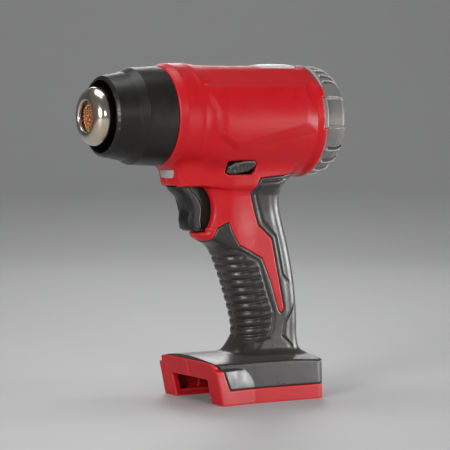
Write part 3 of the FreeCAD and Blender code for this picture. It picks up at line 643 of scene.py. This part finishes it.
def rear_cap(x, y, z):
    """The intake cap: side recess, stepped louvre blocks, slits between them, grille behind."""
    up = z - REAR_Z
    wide = np.abs(y)
    radius = np.hypot(y, up)
    angle = np.degrees(np.arctan2(up, wide))
    proud = np.zeros(np.shape(x))
    for low, high, start, end in LOUVRES:
        inside = (angle >= low) & (angle < high)
        proud = np.where(inside, start + (end - start) * ramp(angle, low, high), proud)
    proud = proud * ease(x, 67.4, 71.0)
    form = outline(x, radius - proud, [(67.6, -50), (67.6, 35.3), (76, 35.0), (80.6, 33.4), (83.6, 30.6),
                                       (84.5, 28.2), (84.5, -50)])
    tab_side = np.maximum(np.abs(x - 67.4) - 1.9, np.abs(z - CAP_BLOCK_Z) - 9.3)
    form = np.minimum(form, both(np.abs(radius - 33.6) - 1.9, tab_side, 0.5))
    recess = np.maximum(np.maximum(33.0 - radius, np.abs(z - CAP_BLOCK_Z) - 8.4), np.abs(x - 75.9) - 7.2)
    form = without(form, recess, 0.35)
    for slit in SLITS:
        lean = 0.06 * (x - 76)
        across = np.radians(angle - slit) * radius + lean
        cut = np.maximum(np.abs(across) - 0.85, np.maximum(np.abs(x - 77.2) - 6.2, 26.5 - radius))
        form = without(form, cut, 0.3)
    inner = outline(x, radius, [(60, -5), (60, 31.4), (77.5, 30.6), (81.4, 27.5), (81.4, -5)])
    form = without(form, inner, 0.4)
    form = without(form, both(radius - 25.8, 83.7 - x, 0.4), 0.6)
    turn = np.mod(np.degrees(np.arctan2(up, y)) + radius - 16, 15.0) - 7.5
    half_slot = 0.35 + 0.045 * radius
    slots = np.maximum(np.abs(np.radians(turn) * radius) - half_slot, np.abs(radius - 16.2) - 8.0)
    return without(form, np.maximum(slots, 80 - x), 0.4)


# The trigger's finger face, (Z, X), and its skirt in side view.
TRIGGER_FACE = [(106, -14.8), (108, -16.2), (110.4, -17.3), (113.5, -17.7), (117, -17.3), (120.5, -17.1),
                (124.5, -18.5), (128.5, -21.2), (131.6, -24.6), (134.6, -26.9)]
TRIGGER_SKIRT = [(-15.5, 107.6), (-16, 118), (-19, 128), (-22, 134.6), (0.5, 134.6), (0.5, 107.2)]


def trigger(x, y, z):
    """Concave finger pad, and the flat skirt behind it, pocketed for the return spring."""
    wide = np.abs(y)
    face = curve(z, TRIGGER_FACE) + 0.030 * wide ** 2
    pad = both(both(0.85 * (face - x), x - face - 9.0, 1.0), wide - 7.7, 2.6)
    pad = both(both(pad, 106.4 - z, 2.2), z - 134.6, 0.8)
    skirt = both(outline(x, z, TRIGGER_SKIRT), wide - 6.8, 0.7)
    sole = [(-13, 106.4), (-13, 108.0), (0.4, 108.0), (0.4, 106.4)]
    sole = both(outline(x, z, sole), wide - 7.9, 0.5)
    form = union(union(pad, skirt, 0.5), sole, 0.5)
    pocket = np.maximum(np.abs(np.hypot(y, z - PLUNGER_Z) - 3.8) - 0.85, -6.6 - x)
    return without(form, pocket, 0.2)


SHUTTLE_PAD = [(3.8, 143.4), (4.2, 146.6), (7.5, 149.0), (14, 150.2), (21.2, 150.3), (23.0, 148.6),
               (22.6, 146.6), (19.5, 144.6), (14.5, 143.0), (9.0, 142.1), (5.2, 142.2)]


def shuttle(x, y, z):
    """The lock shuttle: a ribbed pad at each end of a slim bar."""
    wide = np.abs(y)
    crest = whole(x, y, z) - 1.5 + 0.010 * (x - 13) ** 2
    pad = both(outline(x, z, SHUTTLE_PAD), np.maximum(crest, 15 - wide), 1.8)
    ribs = np.exp(-((np.mod(x, 2.4) - 1.2) / 0.45) ** 2) * ease(-outline(x, z, SHUTTLE_PAD), 1.2, 2.4)
    bar = both(slab(x - 13, z - 146, 9, 2.6, 2), wide - 18, 0.4)
    return np.minimum(pad + 0.35 * ribs, bar)


def lens(x, y, z):
    """The light's lens, a thin piece of the chin's own surface."""
    form = neck(x, y, z) + 0.1
    edge = both(np.abs(z - 142.2) - 2.65, np.abs(y) - 8.65 - 0.35 * (z - 139.5), 0.5)
    return both(both(form, edge, 0.6), -(neck(x, y, z) + 1.5), 0.2)


def top_insert(x, y, z):
    """The pale insert, slightly crowned, in the flat top of the barrel."""
    crown = z - 210.6 + 1.0 * (np.abs(y) / 9) ** 2 + 0.7 * (np.abs(x - 47.5) / 13) ** 4
    return both(both(slab(x - 47.5, y, 13.4, 8.9, 2.2), crown, 1.0), 207.7 - z, 0.4)


def build_small_pieces():
    """The cap, trigger, shuttle, lens and insert: each field, its box, material, body, slot and node."""
    for name, field, low, high, paint, body, slot, node, step in (
            ("intake_cap", rear_cap, (64, -37, 137), (86, 37, 212),
             GREY, "housing", "grey_plastic", "rear_cap", 1.25 * FINE_STEP),
            ("trigger_lever", trigger, (-28, -9.5, 105), (3, 9.5, 136),
             BLACK, "trigger_group", "black_plastic", "trigger", FINE_STEP),
            ("lock_shuttle_bar", shuttle, (1, -26.5, 140), (25, 26.5, 152.5),
             CHARCOAL, "lock", "grey_plastic", "lock_shuttle", FINE_STEP),
            ("work_light_lens", lens, (-33, -12, 138), (-25, 12, 146.5),
             LENS, "housing", "lens", "led_lens", FINE_STEP),
            ("pale_top_insert", top_insert, (32.5, -11, 206), (63, 11, 212),
             PALE, "housing", "light_grey_plastic", "top_insert", FINE_STEP)):
        moulded(name, field, low, high, paint, body, [node], step)


def revolved(profile, segments):
    """Points and faces of a closed loop of (X, radius) turned about the nozzle's axis."""
    count = len(profile)
    points, faces = [], []
    for turn in range(segments):
        angle = 2 * math.pi * turn / segments
        across, up = math.sin(angle), math.cos(angle)
        points += [(x, radius * across, AXIS_Z + radius * up) for x, radius in profile]
        after = (turn + 1) % segments
        for i in range(count):
            j = (i + 1) % count
            faces.append((turn * count + i, turn * count + j, after * count + j, after * count + i))
    return points, faces


def turned(name, profile, material, node):
    """A lathe piece standing for a CAD node."""
    obj = add_mesh(name, *revolved(profile, LATHE_SEGMENTS), material)
    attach(obj, "housing")
    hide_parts(node)


def rounded(corners, open_ended=False):
    """A loop with each corner (x, r, radius) made round, or an open line whose ends stay sharp."""
    steps = 8
    loop = []
    count = len(corners)
    for i, corner in enumerate(corners):
        here = Vector(corner[:2])
        radius = corner[2]
        if open_ended and i in (0, count - 1):
            loop.append(corner[:2])
            continue
        before = Vector(corners[i - 1][:2]) - here
        after = Vector(corners[(i + 1) % count][:2]) - here
        turn = before.angle(after)
        back = min(radius / math.tan(turn / 2), 0.48 * before.length, 0.48 * after.length)
        a, b = here + before.normalized() * back, here + after.normalized() * back
        for n in range(steps + 1):
            t = n / steps
            loop.append(tuple(a * (1 - t) ** 2 + here * 2 * t * (1 - t) + b * t * t))
    return loop


def wound_ring(ring_radius, coil_radius, count, x):
    """A coil of heater wire bent into a ring about the nozzle's axis."""
    steps, around, wire = count * 14, 6, 0.32
    centres = []
    for n in range(steps):
        turn = 2 * math.pi * n / steps
        twist = count * turn
        reach = ring_radius + coil_radius * math.cos(twist)
        along_x = x + coil_radius * math.sin(twist)
        centres.append(Vector((along_x, reach * math.sin(turn), AXIS_Z + reach * math.cos(turn))))
    points, faces = [], []
    for n, centre in enumerate(centres):
        ahead = (centres[(n + 1) % steps] - centres[n - 1]).normalized()
        side = ahead.cross(Vector((1, 0.01, 0))).normalized()
        other = ahead.cross(side)
        for m in range(around):
            angle = 2 * math.pi * m / around
            points.append(centre + wire * (math.cos(angle) * side + math.sin(angle) * other))
            following = (n + 1) % steps
            faces.append((n * around + m, n * around + (m + 1) % around,
                          following * around + (m + 1) % around, following * around + m))
    return points, faces


def build_outlet_wires():
    """Three rings of wound heater wire and the mica disc behind them, just inside the outlet."""
    front = OUTLET_X + 3.4
    for number, (ring_radius, count) in enumerate(((1.7, 5), (4.3, 12), (7.0, 19))):
        points, faces = wound_ring(ring_radius, 1.15, count, front)
        coil = add_mesh(f"outlet_wire_{number}", points, faces, WIRE)
        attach(coil, "housing")
    section = [(front + 1.9, 0.3), (front + 1.9, 13.5), (front + 2.7, 13.5), (front + 2.7, 0.3)]
    disc = add_mesh("outlet_mica", *revolved(section, 64), MICA, smooth=False)
    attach(disc, "housing")


def build_hot_end():
    """The turned steel nozzle with its dome and rolled lip, and the stepped heat shield round it."""
    front, turn, wall = OUTLET_X, 6.9, 0.8
    flat = 11.1  # radius where the dome's turn starts
    bends = [math.radians(90 * n / 14) for n in range(15)]
    dome = [(front + turn * (1 - math.cos(a)), flat + turn * math.sin(a)) for a in bends]
    inner = turn - wall
    inside = [(front + turn - inner * math.cos(a), flat + inner * math.sin(a)) for a in bends]
    lip = [(front + 2.4, 9.9), (front + 1.6, 9.5), (front + 0.8, 9.5), (front + 0.25, 9.85),
           (front + 0.04, 10.4)]
    tail = rounded([
        (-70.2, 18.0, 0.8), (-69.2, 16.9, 0.6), (-50, 16.9, 0.3), (-50, 16.1, 0.3), (-69.8, 16.1, 0.6),
        (-70.8, 17.2, 0.6),
    ], open_ended=True)
    turned("steel_nozzle", dome + tail + inside[::-1] + lip, DOME, "nozzle")
    shield = rounded([
        (-74.65, 22.3, 0.5), (-74.4, 23.3, 0.5), (-72.9, 24.8, 0.7), (-60.4, 27.2, 2.2), (-55.2, 29.8, 2.0),
        (-36.6, 30.85, 0.3), (-36.2, 30.4, 0.2), (-36.0, 28.2, 0.2), (-30, 28.0, 0.3), (-30, 25.4, 0.3),
        (-38, 26.4, 1.0), (-55, 26.6, 1.5), (-60, 24.1, 1.5),
    ])
    turned("heat_shield", shield, SHIELD, "collar")


# ------------------------------------------------------------------ floor, lights and camera


def build_studio():
    """Pale floor curving up behind, soft lights and the camera."""
    ground = CAD_BOX[0][2]
    half, depth, rise, bend = 6.0, 2.2, 3.0, 1.0  # metres, as the places and sizes below
    profile = [(-half, 0.0), (depth - bend, 0.0)]
    for n in range(1, 13):
        angle = math.pi / 2 * n / 12
        profile.append((depth - bend + bend * math.sin(angle), bend - bend * math.cos(angle)))
    profile.append((depth, rise))
    points, faces = [], []
    heading = math.radians(-30.3)  # the way the camera looks, from +Y
    for across in (-half, half):
        for back, up in profile:
            x = across * math.cos(heading) - back * math.sin(heading)
            y = across * math.sin(heading) + back * math.cos(heading)
            points.append((x / MM, y / MM, (ground + up) / MM))
    count = len(profile)
    for i in range(count - 1):
        faces.append((i, i + 1, count + i + 1, count + i))
    floor = add_mesh("studio_floor", points, faces, FLOOR)
    lamp_target = Vector((0.0, 0.0, 0.12))

    def lamp(name, place, size, power, size_y=None):
        light = bpy.data.lights.new(name, "AREA")
        light.energy = power
        light.size = size
        if size_y:
            light.shape = "RECTANGLE"
            light.size_y = size_y
        obj = bpy.data.objects.new(name, light)
        obj.location = place
        obj.rotation_euler = (lamp_target - Vector(place)).to_track_quat("-Z", "Y").to_euler()
        bpy.context.scene.collection.objects.link(obj)

    lamp("key_light", (-1.30, -0.75, 0.50), 0.50, 15)
    lamp("bevel_light", (-0.25, -1.35, 0.45), 0.25, 3)
    lamp("side_light", (0.95, -0.85, 0.13), 0.28, 8, size_y=0.26)
    lamp("edge_light", (1.20, -0.02, 0.16), 0.32, 5)
    lamp("top_light", (-0.1, 0.2, 1.3), 0.8, 7)
    lamp("rim_light", (0.62, 1.12, 0.68), 0.5, 3)

    world = bpy.data.worlds.new("studio")
    world.use_nodes = True
    world.node_tree.nodes["Background"].inputs["Color"].default_value = (0.85, 0.87, 0.90, 1)
    world.node_tree.nodes["Background"].inputs["Strength"].default_value = 0.16
    bpy.context.scene.world = world

    lens_data = bpy.data.cameras.new("camera")
    lens_data.lens = 181.7
    lens_data.sensor_width = 36.0
    lens_data.clip_start = 0.05
    camera = bpy.data.objects.new("camera", lens_data)
    camera.location = Vector((-706.9, -1233.3, 190.35)) * MM
    target = Vector((13.76, 0.0, 109.31)) * MM
    camera.rotation_euler = (target - camera.location).to_track_quat("-Z", "Y").to_euler()
    bpy.context.scene.collection.objects.link(camera)
    bpy.context.scene.camera = camera
    bpy.context.scene.view_settings.view_transform = "Standard"


paint_cad()
build_shells()
build_small_pieces()
build_hot_end()
build_outlet_wires()
build_studio()
